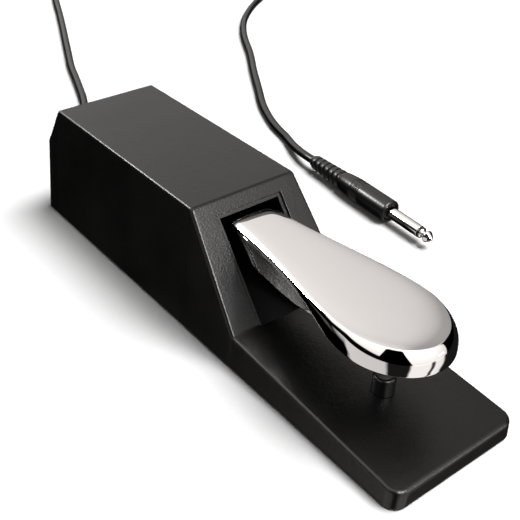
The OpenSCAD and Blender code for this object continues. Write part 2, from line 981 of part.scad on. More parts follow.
housing();
base_plate();
base_mat();
base_screws();
stop_bumper();
bumper_screw();
up_stop_pad();
treadle();
treadle_bushes();
pivot_pin();
pin_clips();
pivot_bracket();
bracket_rivets();
return_spring();
spring_seat();
spring_cap();
switch_body();
switch_lever();
switch_plunger();
switch_terminals();
switch_bracket();
switch_screws();
polarity_switch_body();
polarity_slider();
polarity_screws();
strain_relief();
clamp_base();
clamp_bar();
clamp_screws();
cord_wires();
switch_wires();
cord_rear_run();
cord_coil();
coil_tie();
cord_plug_run();
plug_boot();
plug_grip();
plug_sleeve();
plug_insulator();
plug_tip();
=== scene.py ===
"""Sustain pedal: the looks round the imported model. Metres, +Z up, the toe of the treadle points to -Y."""
import json
import math

import bmesh
import bpy
from mathutils import Matrix, Vector


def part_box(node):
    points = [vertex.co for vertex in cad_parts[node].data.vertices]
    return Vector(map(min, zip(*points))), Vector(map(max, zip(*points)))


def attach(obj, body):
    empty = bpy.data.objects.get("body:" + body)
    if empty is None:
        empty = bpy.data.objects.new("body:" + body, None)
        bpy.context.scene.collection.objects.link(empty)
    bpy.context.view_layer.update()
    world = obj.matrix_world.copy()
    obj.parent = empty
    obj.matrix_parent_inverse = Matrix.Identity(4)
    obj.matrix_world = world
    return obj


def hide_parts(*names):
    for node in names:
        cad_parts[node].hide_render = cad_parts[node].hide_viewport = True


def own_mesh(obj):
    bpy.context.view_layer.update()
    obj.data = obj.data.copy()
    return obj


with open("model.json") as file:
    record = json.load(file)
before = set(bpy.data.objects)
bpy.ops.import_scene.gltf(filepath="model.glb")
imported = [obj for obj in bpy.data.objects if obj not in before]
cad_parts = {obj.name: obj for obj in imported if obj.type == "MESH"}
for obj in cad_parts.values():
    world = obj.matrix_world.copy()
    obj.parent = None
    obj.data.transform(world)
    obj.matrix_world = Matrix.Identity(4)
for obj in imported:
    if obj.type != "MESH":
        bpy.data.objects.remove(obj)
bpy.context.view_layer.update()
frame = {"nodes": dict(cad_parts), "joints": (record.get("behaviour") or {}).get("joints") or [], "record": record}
NODES = frame["nodes"]
RECORD = frame["record"]


# ---------- camera ----------

VIEW_AZIMUTH = math.radians(-37.53)  # the camera looks from the front left
VIEW_ELEVATION = math.radians(33.66)
VIEW_ROLL = math.radians(0.88)
VIEW_DISTANCE = 0.41336
VIEW_ASIDE = -0.00544
VIEW_UP = 0.02836
VIEW_LENS = 61.07
VIEW_SHIFT = (0.0559, -0.0382)


def make_camera():
    sin_a, cos_a = math.sin(VIEW_AZIMUTH), math.cos(VIEW_AZIMUTH)
    sin_e, cos_e = math.sin(VIEW_ELEVATION), math.cos(VIEW_ELEVATION)
    back = Vector((sin_a * cos_e, -cos_a * cos_e, sin_e))
    level = Vector((cos_a, sin_a, 0))
    upright = back.cross(level)
    right = level * math.cos(VIEW_ROLL) + upright * math.sin(VIEW_ROLL)
    up = upright * math.cos(VIEW_ROLL) - level * math.sin(VIEW_ROLL)
    data = bpy.data.cameras.new("camera")
    data.sensor_width = 36
    data.lens = VIEW_LENS
    data.shift_x, data.shift_y = VIEW_SHIFT
    data.clip_start = 0.01
    camera = bpy.data.objects.new("camera", data)
    camera.matrix_world = Matrix((right, up, back)).transposed().to_4x4()
    camera.location = back * VIEW_DISTANCE + right * VIEW_ASIDE + up * VIEW_UP
    bpy.context.scene.collection.objects.link(camera)
    bpy.context.scene.camera = camera


make_camera()


# ---------- shared helpers ----------

def add_object(name, data):
    piece = bpy.data.objects.new(name, data)
    bpy.context.scene.collection.objects.link(piece)
    return piece


def mesh_object(name, points, faces, smooth=True):
    mesh = bpy.data.meshes.new(name)
    mesh.from_pydata([tuple(p) for p in points], [], faces)
    mesh.validate()
    mesh.update()
    if smooth:
        mesh.shade_smooth()
    return add_object(name, mesh)


def add_points(points, more):
    """Adds points to the list and returns their numbers."""
    points += more
    return list(range(len(points) - len(more), len(points)))


def strip(a, b, flip=False):
    """Faces between two rows of point numbers; a point may come more than once."""
    faces = []
    for i in range(len(a) - 1):
        corners = [a[i], a[i + 1], b[i + 1], b[i]]
        face = [c for j, c in enumerate(corners) if c not in corners[:j]]
        if len(face) > 2:
            faces.append(face[::-1] if flip else face)
    return faces


def ring_faces(low, high):
    return strip(low + low[:1], high + high[:1])


def tube_faces(rings):
    """Faces of a closed tube through the rings."""
    faces = [face for a, b in zip(rings, rings[1:]) for face in ring_faces(a, b)]
    return faces + [rings[0][::-1], rings[-1]]


def sharpen(piece, degrees):
    """Smooth shading that keeps edges over this angle sharp."""
    piece.data.shade_smooth()
    piece.data.set_sharp_from_angle(angle=math.radians(degrees))


def smooth_line(points, steps):
    """Catmull-Rom curve through the points, with this many steps a span."""
    line = []
    last = len(points) - 1
    for i in range(last):
        a, b, c, d = (Vector(points[min(max(i + k, 0), last)]) for k in (-1, 0, 1, 2))
        for j in range(steps):
            t = j / steps
            line.append(0.5 * (2 * b + (c - a) * t + (2 * a - 5 * b + 4 * c - d) * t * t
                               + (3 * b - a - 3 * c + d) * t ** 3))
    line.append(Vector(points[last]))
    return line


def quarter_turn(steps):
    """Angles from 0 to a right angle."""
    return [math.pi / 2 * k / steps for k in range(steps + 1)]


def between(x, table):
    """Straight-line reading of a table of (x, value) rows sorted by x."""
    if x <= table[0][0]:
        return table[0][1]
    for (x0, v0), (x1, v1) in zip(table, table[1:]):
        if x <= x1:
            return v0 + (v1 - v0) * (x - x0) / (x1 - x0)
    return table[-1][1]


def circle(centre, side, other, radius, count):
    """Points round a centre, in the plane of two directions."""
    turns = [2 * math.pi * k / count for k in range(count)]
    return [centre + side * radius * math.cos(turn) + other * radius * math.sin(turn) for turn in turns]


def lathe(name, outline, start, axis, sides):
    """A closed turned piece: outline is (distance along the axis, radius) pairs, both ends on the axis."""
    axis = Vector(axis).normalized()
    side = axis.orthogonal().normalized()
    other = axis.cross(side)
    points, rings = [], []
    for along, radius in outline:
        centre = Vector(start) + axis * along
        if radius < 1e-7:
            rings.append(add_points(points, [centre]) * sides)
        else:
            rings.append(add_points(points, circle(centre, side, other, radius, sides)))
    faces = [face for low, high in zip(rings, rings[1:]) for face in ring_faces(low, high)]
    piece = mesh_object(name, points, faces)
    recalculate(piece)
    sharpen(piece, 38)
    return piece


def recalculate(piece):
    """Face normals outwards."""
    bm = bmesh.new()
    bm.from_mesh(piece.data)
    bmesh.ops.remove_doubles(bm, verts=bm.verts, dist=1e-7)
    bmesh.ops.recalc_face_normals(bm, faces=bm.faces)
    bm.to_mesh(piece.data)
    bm.free()


def bake_modifiers(piece):
    """Applies the piece's modifiers to its mesh."""
    depsgraph = bpy.context.evaluated_depsgraph_get()
    mesh = bpy.data.meshes.new_from_object(piece.evaluated_get(depsgraph))
    piece.modifiers.clear()
    piece.data = mesh


def combine(piece, others, operation):
    """Joins the others to the piece, or cuts them from it, and removes them."""
    for other in others:
        tool = piece.modifiers.new(other.name, "BOOLEAN")
        tool.operation = operation
        tool.solver = "EXACT"
        tool.object = other
    bake_modifiers(piece)
    for other in others:
        bpy.data.objects.remove(other)


def box_object(name, low, high, placed=Matrix.Identity(4)):
    corners = [placed @ Vector((x, y, z)) for x in (low[0], high[0])
               for y in (low[1], high[1]) for z in (low[2], high[2])]
    faces = [(0, 1, 3, 2), (4, 6, 7, 5), (0, 4, 5, 1), (2, 3, 7, 6), (0, 2, 6, 4), (1, 5, 7, 3)]
    piece = mesh_object(name, corners, faces, smooth=False)
    recalculate(piece)
    return piece


# ---------- cord ----------

CORD_D = 0.005
EXIT = Vector((0.016, 0.130, 0.014))
# From the strain relief along the floor and round to the coil
REAR_ROUTE = [
    (0.016, 0.160, 0.014), (0.016, 0.168, 0.0136), (0.018, 0.178, 0.0116), (0.022, 0.189, 0.0084),
    (0.028, 0.201, 0.005), (0.035, 0.213, 0.0028), (0.042, 0.225, 0.0025), (0.048, 0.238, 0.0025),
    (0.053, 0.251, 0.0025), (0.059, 0.267, 0.0025), (0.067, 0.289, 0.0025), (0.078, 0.314, 0.0025),
    (0.089, 0.339, 0.0025), (0.101, 0.366, 0.0025), (0.114, 0.396, 0.0025), (0.127, 0.427, 0.0025),
    (0.137, 0.446, 0.0025), (0.152, 0.458, 0.0025), (0.172, 0.462, 0.0025), (0.196, 0.457, 0.0025),
    (0.222, 0.446, 0.0025), (0.246, 0.436, 0.0025), (0.266, 0.4295, 0.003),
]
# From the coil over its outer turn and along the floor to the plug
PLUG_ROUTE = [
    (0.3187, 0.3816, 0.0078), (0.3196, 0.368, 0.0056), (0.316, 0.355, 0.0029), (0.308, 0.3455, 0.0025),
    (0.296, 0.3395, 0.0025), (0.283, 0.334, 0.0025), (0.270, 0.327, 0.0025), (0.250, 0.313, 0.0025),
    (0.227, 0.292, 0.0025), (0.207, 0.266, 0.0025), (0.188, 0.234, 0.0025), (0.170, 0.207, 0.0025),
    (0.153, 0.180, 0.0025), (0.138, 0.156, 0.0025), (0.127, 0.132, 0.0025), (0.1215, 0.113, 0.0025),
    (0.1175, 0.103, 0.0032), (0.1136, 0.093, 0.0048), (0.1109, 0.083, 0.0061), (0.1103, 0.075, 0.0063),
]
COIL_CENTRE = Vector((0.285, 0.395))
COIL_TURNS = 5.25  # clockwise from above: three turns below, two above
# (turns so far, radius) and (turns so far, height) of the cord's middle
COIL_RADII = [(0, 0.0326), (0.78, 0.0326), (0.98, 0.0275), (1.78, 0.0275), (1.98, 0.0224), (2.77, 0.0224),
              (2.83, 0.0209), (2.92, 0.0206), (3, 0.0232), (3.06, 0.025), (3.78, 0.025), (3.98, 0.0301),
              (4.78, 0.0301), (4.98, 0.0352), (5.25, 0.0354)]
COIL_HEIGHTS = [(0, 0.0033), (2.76, 0.0033), (2.94, 0.0083), (3.02, 0.0083), (3.12, 0.0078),
                (3.76, 0.0078), (3.82, 0.0086), (3.94, 0.0086), (4.02, 0.0078), (4.76, 0.0078),
                (4.82, 0.0086), (4.94, 0.0086), (5.02, 0.0078), (5.25, 0.0078)]


def coil_line():
    steps = round(COIL_TURNS * 24)
    line = []
    for i in range(steps + 1):
        turns = COIL_TURNS * i / steps
        angle = math.pi / 2 - 2 * math.pi * turns
        radius = between(turns, COIL_RADII)
        line.append((COIL_CENTRE.x + radius * math.cos(angle), COIL_CENTRE.y + radius * math.sin(angle),
                     between(turns, COIL_HEIGHTS)))
    return line


def make_cord():
    lead_in = [tuple(EXIT), (0.016, 0.141, 0.014), (0.016, 0.152, 0.014)]
    line = smooth_line(lead_in + REAR_ROUTE + coil_line() + PLUG_ROUTE, 4)
    curve = bpy.data.curves.new("cord", "CURVE")
    curve.dimensions = "3D"
    curve.bevel_depth = CORD_D / 2
    curve.bevel_resolution = 6
    curve.use_fill_caps = True
    spline = curve.splines.new("POLY")
    spline.points.add(len(line) - 1)
    for point, place in zip(spline.points, line):
        point.co = (*place, 1)
    spline.use_smooth = True
    return add_object("cord", curve)


cord = make_cord()


# ---------- materials ----------

def new_material(name, colour, roughness, metallic=0.0):
    """A Principled material; returns it with its node tree and shader."""
    material = bpy.data.materials.new(name)
    material.use_nodes = True
    tree = material.node_tree
    shader = tree.nodes["Principled BSDF"]
    shader.inputs["Base Color"].default_value = (*colour, 1)
    shader.inputs["Roughness"].default_value = roughness
    shader.inputs["Metallic"].default_value = metallic
    return material, tree, shader


def object_noise(tree, size, detail=3.0, stretch=(1, 1, 1)):
    """Noise in the piece's own space, with features of about this size in metres."""
    place = tree.nodes.new("ShaderNodeTexCoord")
    mapping = tree.nodes.new("ShaderNodeMapping")
    mapping.inputs["Scale"].default_value = stretch
    noise = tree.nodes.new("ShaderNodeTexNoise")
    noise.inputs["Scale"].default_value = 1 / size
    noise.inputs["Detail"].default_value = detail
    tree.links.new(place.outputs["Object"], mapping.inputs["Vector"])
    tree.links.new(mapping.outputs["Vector"], noise.inputs["Vector"])
    return noise.outputs["Fac"]


def spread(tree, value, low, high, socket):
    """Maps a 0 to 1 value onto low to high and feeds it to the socket."""
    scale = tree.nodes.new("ShaderNodeMapRange")
    scale.inputs["From Min"].default_value = 0.3
    scale.inputs["From Max"].default_value = 0.7
    scale.inputs["To Min"].default_value = low
    scale.inputs["To Max"].default_value = high
    tree.links.new(value, scale.inputs["Value"])
    tree.links.new(scale.outputs["Result"], socket)


def tint(tree, value, dark, light, socket):
    """Mixes two colours by a 0 to 1 value."""
    ramp = tree.nodes.new("ShaderNodeValToRGB")
    ramp.color_ramp.elements[0].position = 0.3
    ramp.color_ramp.elements[0].color = (*dark, 1)
    ramp.color_ramp.elements[1].position = 0.7
    ramp.color_ramp.elements[1].color = (*light, 1)
    tree.links.new(value, ramp.inputs["Fac"])
    tree.links.new(ramp.outputs["Color"], socket)


def bump(tree, shader, heights, strength, depth):
    """Adds bumps, one after another, from (value, share) pairs."""
    last = None
    for value, share in heights:
        node = tree.nodes.new("ShaderNodeBump")
        node.inputs["Strength"].default_value = strength * share
        node.inputs["Distance"].default_value = depth
        tree.links.new(value, node.inputs["Height"])
        if last:
            tree.links.new(last, node.inputs["Normal"])
        last = node.outputs["Normal"]
    tree.links.new(last, shader.inputs["Normal"])


def darker(colour, share):
    return tuple(c * share for c in colour)


def moulded_plastic(name, colour, roughness, grain=0.00045, strength=0.6, depth=0.00005):
    """Moulded plastic with a fine spark-eroded grain and slow changes of sheen."""
    material, tree, shader = new_material(name, colour, roughness)
    fine = object_noise(tree, grain, 4)
    broad = object_noise(tree, grain * 3, 2)
    slow = object_noise(tree, 0.03, 2)
    tint(tree, broad, darker(colour, 0.85), darker(colour, 1.15), shader.inputs["Base Color"])
    spread(tree, slow, roughness - 0.03, roughness + 0.03, shader.inputs["Roughness"])
    bump(tree, shader, [(fine, 1), (broad, 0.6)], strength, depth)
    return material


def polished_metal(name, colour, roughness):
    """Bright plating with faint smears and hairlines."""
    material, tree, shader = new_material(name, colour, roughness, 1.0)
    smear = object_noise(tree, 0.012, 5, (1, 0.4, 1))
    hairs = object_noise(tree, 0.0004, 2, (1, 0.05, 1))
    tint(tree, smear, darker(colour, 0.985), colour, shader.inputs["Base Color"])
    spread(tree, smear, roughness * 0.8, roughness * 1.5, shader.inputs["Roughness"])
    bump(tree, shader, [(hairs, 1)], 0.02, 0.00001)
    return material


def worked_metal(name, colour, roughness, stretch=(1, 0.08, 1)):
    """Rolled or drawn metal: streaks one way, and slow changes of colour."""
    material, tree, shader = new_material(name, colour, roughness, 1.0)
    streaks = object_noise(tree, 0.0006, 3, stretch)
    patches = object_noise(tree, 0.006, 3)
    tint(tree, patches, darker(colour, 0.85), colour, shader.inputs["Base Color"])
    spread(tree, streaks, roughness - 0.07, roughness + 0.07, shader.inputs["Roughness"])
    bump(tree, shader, [(streaks, 1)], 0.12, 0.00002)
    return material


def soft_material(name, colour, roughness, grain, strength):
    """Rubber, felt or cord sheath: matte, with a fine uneven surface."""
    material, tree, shader = new_material(name, colour, roughness)
    fine = object_noise(tree, grain, 4)
    slow = object_noise(tree, 0.012, 2)
    tint(tree, slow, darker(colour, 0.8), darker(colour, 1.2), shader.inputs["Base Color"])
    spread(tree, fine, roughness - 0.05, roughness + 0.05, shader.inputs["Roughness"])
    bump(tree, shader, [(fine, 1)], strength, 0.00004)
    return material


BLACK = (0.0045, 0.0042, 0.0041)
# By slot; Blender numbers a name in use
MATERIALS = {made.name.split(".")[0]: made for made in (
    moulded_plastic("housing_plastic", BLACK, 0.31, 0.0009, 1.0, 0.00008),
    soft_material("black_steel", (0.008, 0.008, 0.008), 0.6, 0.0005, 0.2),
    soft_material("rubber", (0.007, 0.007, 0.007), 0.33, 0.0003, 0.15),
    soft_material("felt", (0.05, 0.05, 0.05), 0.9, 0.0002, 0.9),
    worked_metal("plated_steel", (0.56, 0.57, 0.58), 0.32),
    polished_metal("treadle_chrome", (0.86, 0.855, 0.85), 0.035),
    moulded_plastic("nylon", (0.72, 0.70, 0.63), 0.4, strength=0.1),
    worked_metal("spring_steel", (0.42, 0.42, 0.43), 0.28),
    moulded_plastic("switch_plastic", (0.02, 0.02, 0.021), 0.3, strength=0.1),
    moulded_plastic("plunger_red", (0.5, 0.03, 0.02), 0.3, strength=0.08),
    worked_metal("terminal_brass", (0.75, 0.55, 0.28), 0.3),
    soft_material("cord_rubber", (0.006, 0.006, 0.0062), 0.3, 0.0004, 0.12),
    moulded_plastic("wire_red", (0.55, 0.03, 0.02), 0.4, strength=0.05),
    moulded_plastic("wire_white", (0.75, 0.75, 0.72), 0.4, strength=0.05),
    soft_material("tie_plastic", (0.03, 0.03, 0.03), 0.6, 0.0003, 0.4),
    soft_material("plug_plastic", (0.007, 0.007, 0.0073), 0.3, 0.0003, 0.12),
    polished_metal("plug_nickel", (0.85, 0.84, 0.82), 0.06),
)}


def finish_piece(piece, slot, body, *nodes):
    """Gives a new piece its finish and its body, and hides the CAD nodes it stands for."""
    piece.data.materials.clear()
    piece.data.materials.append(MATERIALS[slot])
    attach(piece, body)
    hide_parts(*nodes)


for subpart in RECORD["subparts"]:
    node = NODES[subpart["node"]]
    node.data.materials.clear()
    node.data.materials.append(MATERIALS[subpart["material_slot"]])

finish_piece(cord, "cord_rubber", "base", "cord_rear_run", "cord_coil", "cord_plug_run")


# ---------- treadle ----------

PIVOT = Vector(next(j["pos_m"] for j in frame["joints"] if j["name"] == "treadle_hinge"))
EDGE_Z = 0.0503  # height of the top face along its edge
CROWN = 0.0008  # the top face's middle stands this much higher
SHEET = 0.0025
WEB_T = 0.0022
TOE_START_Y = -0.0890
TOE_TIP_Y = -0.1158
TOE_HALF = 0.0231
CAP_END_Y = 0.006
ARM_END_Y = 0.0695
# Half width of the rim along Y, from the rear to where the round toe starts
RIM_HALF = [(0.006, 0.0118), (-0.006, 0.0118), (-0.014, 0.0122), (-0.024, 0.0132), (-0.035, 0.0146),
            (-0.047, 0.0166), (-0.060, 0.0191), (-0.071, 0.0211), (-0.080, 0.0225), (-0.0890, 0.0231)]
# Along Y: height of the rim's lower edge
RIM_LOW = [(-0.116, 0.0402), (-0.085, 0.0404), (-0.078, 0.0414), (-0.072, 0.0430), (-0.067, 0.0448),
           (-0.0625, 0.0463), (-0.055, 0.0471), (-0.042, 0.0478), (-0.030, 0.0480), (-0.018, 0.0484),
           (0.006, 0.0484)]
# Along Y: height of the web's lower edge
WEB_LOW = [(-0.074, 0.0440), (-0.064, 0.0418), (-0.053, 0.0389), (-0.040, 0.0373), (-0.030, 0.0379),
           (-0.022, 0.0396), (-0.014, 0.0410), (0.052, 0.0410), (0.069, 0.0350)]
# Along Y: how far the web stands in from the rim, and the reach and depth of its shoulder
WEB_STEP = [(-0.074, 0.0020), (-0.040, 0.0013), (-0.032, 0.0006), (-0.024, -0.0004), (-0.014, -0.0006),
            (0.004, 0.0000), (0.008, 0.0016), (0.070, 0.0016)]
SHOULDER = [(-0.074, 0.0006), (-0.036, 0.0006), (-0.024, 0.0009), (-0.006, 0.0009), (0.008, 0.0006)]
SHOULDER_DEEP = [(-0.074, 0.0010), (-0.040, 0.0014), (-0.028, 0.0034), (-0.006, 0.0040), (0.008, 0.0016)]
# Along Y: reach and drop of the rounding between the top face and the rim, and the angle at which it starts
EDGE_REACH = [(-0.1158, 0.0038), (-0.105, 0.0036), (-0.095, 0.0030), (-0.085, 0.0022), (-0.075, 0.0018),
              (-0.064, 0.0014), (-0.047, 0.0008), (-0.034, 0.0007), (-0.020, 0.0011), (0.006, 0.0012)]
EDGE_DROP = [(-0.1158, 0.0078), (-0.095, 0.0074), (-0.085, 0.0058), (-0.075, 0.0032), (-0.064, 0.0016),
             (-0.047, 0.0009), (-0.034, 0.0007), (-0.020, 0.0009), (0.006, 0.0009)]
EDGE_ANGLE = [(-0.1158, 38), (-0.096, 36), (-0.085, 24), (-0.070, 14), (0.006, 11)]


def rim_outline():
    """Right half of the rim's plan, from the rear to the tip: places and outward directions."""
    side = smooth_line([(x, y, 0) for y, x in RIM_HALF], 5)[:-1]
    depth = TOE_START_Y - TOE_TIP_Y
    toe = [Vector((TOE_HALF * math.cos(a), TOE_START_Y - depth * math.sin(a), 0))
           for a in quarter_turn(30)]
    places = side + toe
    places[-1].x = 0
    outward = []
    for i in range(len(places)):
        step = places[min(i + 1, len(places) - 1)] - places[max(i - 1, 0)]
        outward.append(Vector((-step.y, step.x, 0)).normalized())
    outward[0] = Vector((1, 0, 0))
    outward[-1] = Vector((0, -1, 0))
    return places, outward


def face_height(x, half, y, toe_edge):
    """Height of the crowned top face; half is its half width at this Y, toe_edge its edge round the toe."""
    if y > TOE_START_Y:
        reach = abs(x) / half
    else:
        turn = math.atan2(TOE_START_Y - y, abs(x))
        reach = math.hypot(x, TOE_START_Y - y) / between(turn, toe_edge)
    reach = min(reach, 1)
    return EDGE_Z + CROWN * (1 - 0.35 * reach ** 2 - 0.65 * reach ** 7)


def cap_sections():
    """Sections along the rim's right half, each from the top face's edge over the rim to the underside."""
    sections = []
    places, outward = rim_outline()
    for place, out in zip(places, outward):
        start = math.radians(between(place.y, EDGE_ANGLE))
        reach = between(place.y, EDGE_REACH)
        low = between(place.y, RIM_LOW)
        drop = min(between(place.y, EDGE_DROP), 0.85 * (EDGE_Z - low))
        lip = min(0.0006, 0.1 * (EDGE_Z - low))
        under = max(low + 0.0004, EDGE_Z - SHEET)
        section = []
        for k in range(13):
            angle = start + (math.pi / 2 - start) * k / 12
            share = (math.sin(angle) - math.sin(start)) / (1 - math.sin(start))
            fall = (math.cos(start) - math.cos(angle)) / math.cos(start)
            section.append((reach * (share - 1), EDGE_Z - drop * fall))
        side_high, side_low = EDGE_Z - drop, low + lip
        section += [(0, side_high + (side_low - side_high) * k / 3) for k in range(1, 4)]
        section += [(lip * (math.cos(a) - 1), side_low - lip * math.sin(a)) for a in quarter_turn(4)[1:]]
        section += [(-SHEET, low), (-SHEET - 0.0001, under)]
        sections.append([place + out * across + Vector((0, 0, z)) for across, z in section])
    return sections


CAP_ACROSS = 28
MIRROR = Vector((-1, 1, 1))


def treadle_cap():
    """The top plate with its rolled rim: one closed shell, hollow underneath."""
    right = cap_sections()
    points, faces = [], []
    right_ids = [add_points(points, section) for section in right]
    left_ids = [add_points(points, [p * MIRROR for p in section]) for section in right[:-1]] + right_ids[-1:]
    for side, flip in ((right_ids, False), (left_ids, True)):
        for a, b in zip(side, side[1:]):
            faces += strip(a, b, flip)

    def across(index, height):
        """Rows of points from the left edge to the right one, with the tip as one point."""
        rows = []
        for section, left, right_row in zip(right[:-1], left_ids, right_ids):
            half, y = section[index].x, section[index].y
            xs = [half * math.sin(math.pi / 2 * (2 * k / CAP_ACROSS - 1)) for k in range(1, CAP_ACROSS)]
            inner = add_points(points, [Vector((x, y, height(x, half, y, section[index].z))) for x in xs])
            rows.append([left[index], *inner, right_row[index]])
        return rows + [[right_ids[-1][index]] * (CAP_ACROSS + 1)]

    edge = [section[0] for section in right if section[0].y <= TOE_START_Y]
    toe_edge = [(math.atan2(TOE_START_Y - p.y, p.x), math.hypot(p.x, TOE_START_Y - p.y)) for p in edge]
    top = across(0, lambda x, half, y, z: face_height(x, half, y, toe_edge))
    under = across(-1, lambda x, half, y, z: z)
    for rows, flip in ((top, True), (under, False)):
        for a, b in zip(rows, rows[1:]):
            faces += strip(a, b, flip)
    faces.append(top[0] + right_ids[0][1:-1] + under[0][::-1] + left_ids[0][1:-1][::-1])
    return points, faces


def treadle_arm():
    """The arm: an upside-down U that follows the rim from the toe back to the pivot."""
    half_of = sorted((y, x) for y, x in RIM_HALF)
    stations = [-0.074 + 0.002 * k for k in range(72)]
    stations = [y for y in stations if y < ARM_END_Y] + [ARM_END_Y]
    points, rings = [], []
    for y in stations:
        half = between(y, half_of) - between(y, WEB_STEP)
        low = between(y, WEB_LOW)
        # inside the cap the arm's top is hidden in the plate; behind it the top shows
        top = EDGE_Z - 0.0006 if y < CAP_END_Y else EDGE_Z + 0.0002
        foot = between(y, RIM_LOW) + 0.0001 if y < CAP_END_Y else top - 0.0001
        shoulder, deep = between(y, SHOULDER), between(y, SHOULDER_DEEP)
        edge = 0.0004
        outer = [(half - edge, low), (half - 0.12 * edge, low + 0.12 * edge), (half, low + edge)]
        outer += [(half - shoulder + shoulder * math.cos(a), foot - deep + deep * math.sin(a))
                  for a in quarter_turn(8)]
        outer.append((half - shoulder - 0.0001, top))
        inside = half - WEB_T
        inner = [(inside - shoulder, top - SHEET), (inside, low + edge), (inside + edge, low)]
        section = outer + [(-x, z) for x, z in outer[::-1]]
        section += [(-x, z) for x, z in inner[::-1]] + inner
        rings.append(add_points(points, [Vector((x, y, z)) for x, z in section]))
    return points, tube_faces(rings)


def ring_plate(low_x, high_x, outer, inner):
    """A flat ring round the pivot, square to X."""
    points, rings = [], []
    along, up = Vector((0, 1, 0)), Vector((0, 0, 1))
    for x in (low_x, high_x):
        for radius in (outer, inner):
            rings.append(add_points(points, circle(Vector((x, *PIVOT.yz)), along, up, radius, 48)))
    a, b, c, d = rings
    return points, ring_faces(a, b) + ring_faces(b, d) + ring_faces(d, c) + ring_faces(c, a)


def merged(name, shells):
    points, faces = [], []
    for more_points, more_faces in shells:
        faces += [[i + len(points) for i in face] for face in more_faces]
        points += list(more_points)
    return mesh_object(name, points, faces)


def mesh_of(piece):
    """A piece's points and faces, and the piece removed."""
    points = [v.co.copy() for v in piece.data.vertices]
    faces = [list(p.vertices) for p in piece.data.polygons]
    bpy.data.objects.remove(piece)
    return points, faces


def make_treadle():
    arm_half = 0.010
    shells = [treadle_cap(), treadle_arm()]
    for side in (-1, 1):
        shells.append(ring_plate(side * (arm_half - SHEET), side * (arm_half + 0.00002), 0.008, 0.0045))
    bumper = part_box("stop_bumper")
    middle = (bumper[0] + bumper[1]) / 2
    boss = [(0, 0), (0, 0.0064), (0.0006, 0.007), (0.0068, 0.007), (0.0068, 0)]
    shells.append(mesh_of(lathe("boss", boss, (middle.x, middle.y, 0.041), (0, 0, 1), 48)))
    shells.append(mesh_of(box_object("tab", (-0.0079, 0.049, 0.041), (0.0079, 0.051, 0.0478))))
    piece = merged("treadle_shell", shells)
    recalculate(piece)
    sharpen(piece, 35)
    return piece


finish_piece(make_treadle(), "treadle_chrome", "treadle", "treadle")


# ---------- housing ----------

HOUSING_LOW, HOUSING_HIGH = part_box("housing")
REAR_Y = HOUSING_HIGH.y
FRONT_Y = HOUSING_LOW.y
WALL = 0.0026
LEAN = (0.033367 - 0.028100) / 0.0595  # the sides lean in by this much a metre of height
# The top's outline from the front wall to the rear one, and the rounding of its corners
TOP_LINE = [(-0.130, 0.009), (-0.034, 0.016), (0.001, 0.060), (0.118, 0.060), (0.130, 0.037)]
TOP_ROUND = [0, 0.0015, 0.0025, 0.0030, 0]
FRONT_PLAN_R = 0.006
REAR_PLAN_R = 0.003
SIDE_EDGE_R = 0.0014
FRONT_EDGE_R = 0.0021
FOOT_R = 0.0006
ACROSS = 16


def half_width(z):
    return HOUSING_HIGH.x - (z - HOUSING_LOW.z) * LEAN


def top_stations():
    """The top's outline with rounded corners, front to rear: rows of (point, outward direction)."""
    corners = [Vector((0, y, z)) for y, z in TOP_LINE]
    stations = []
    for i, (corner, radius) in enumerate(zip(corners, TOP_ROUND)):
        ahead = (corners[i + 1] - corner).normalized() if i + 1 < len(corners) else None
        behind = (corner - corners[i - 1]).normalized() if i else ahead
        ahead = ahead or behind
        normals = [Vector((0, -d.z, d.y)) for d in (behind, ahead)]
        turn = math.atan2(behind.cross(ahead).x, behind.dot(ahead))
        if not radius:
            stations.append((corner, normals[0]))
            continue
        reach = radius * math.tan(abs(turn) / 2)
        start = corner - behind * reach
        centre = start + normals[0] * radius * (1 if turn > 0 else -1)
        for k in range(9):
            normal = Matrix.Rotation(turn * k / 8, 3, "X") @ normals[0]
            stations.append((centre - normal * radius * (1 if turn > 0 else -1), normal))
    return stations


def top_at(y, stations):
    """The top's height and outward direction at this Y."""
    for (p, n), (q, m) in zip(stations, stations[1:]):
        if y <= q.y or q is stations[-1][0]:
            share = min(max((y - p.y) / max(q.y - p.y, 1e-9), 0), 1)
            return p.z + (q.z - p.z) * share, n.lerp(m, share).normalized()


def housing_plan(stations):
    """Right half of the plan, from the front to the rear: (inset from the side, Y, outward direction)."""
    plan = []
    for a in quarter_turn(10):
        plan.append((FRONT_PLAN_R * (1 - math.sin(a)), FRONT_Y + FRONT_PLAN_R * (1 - math.cos(a)),
                     Vector((math.sin(a), -math.cos(a), 0))))
    ys = [p.y for p, _ in stations if FRONT_Y + FRONT_PLAN_R < p.y < REAR_Y - REAR_PLAN_R]
    ys += [-0.118, -0.106, -0.094, -0.082, -0.070, -0.058, -0.046, -0.026, -0.018, -0.010,
           0.012, 0.026, 0.042, 0.058, 0.074, 0.090, 0.104, 0.1235]
    plan += [(0, y, Vector((1, 0, 0))) for y in sorted(ys)]
    for a in quarter_turn(8):
        plan.append((REAR_PLAN_R * (1 - math.cos(a)), REAR_Y - REAR_PLAN_R * (1 - math.sin(a)),
                     Vector((math.cos(a), math.sin(a), 0))))
    return plan


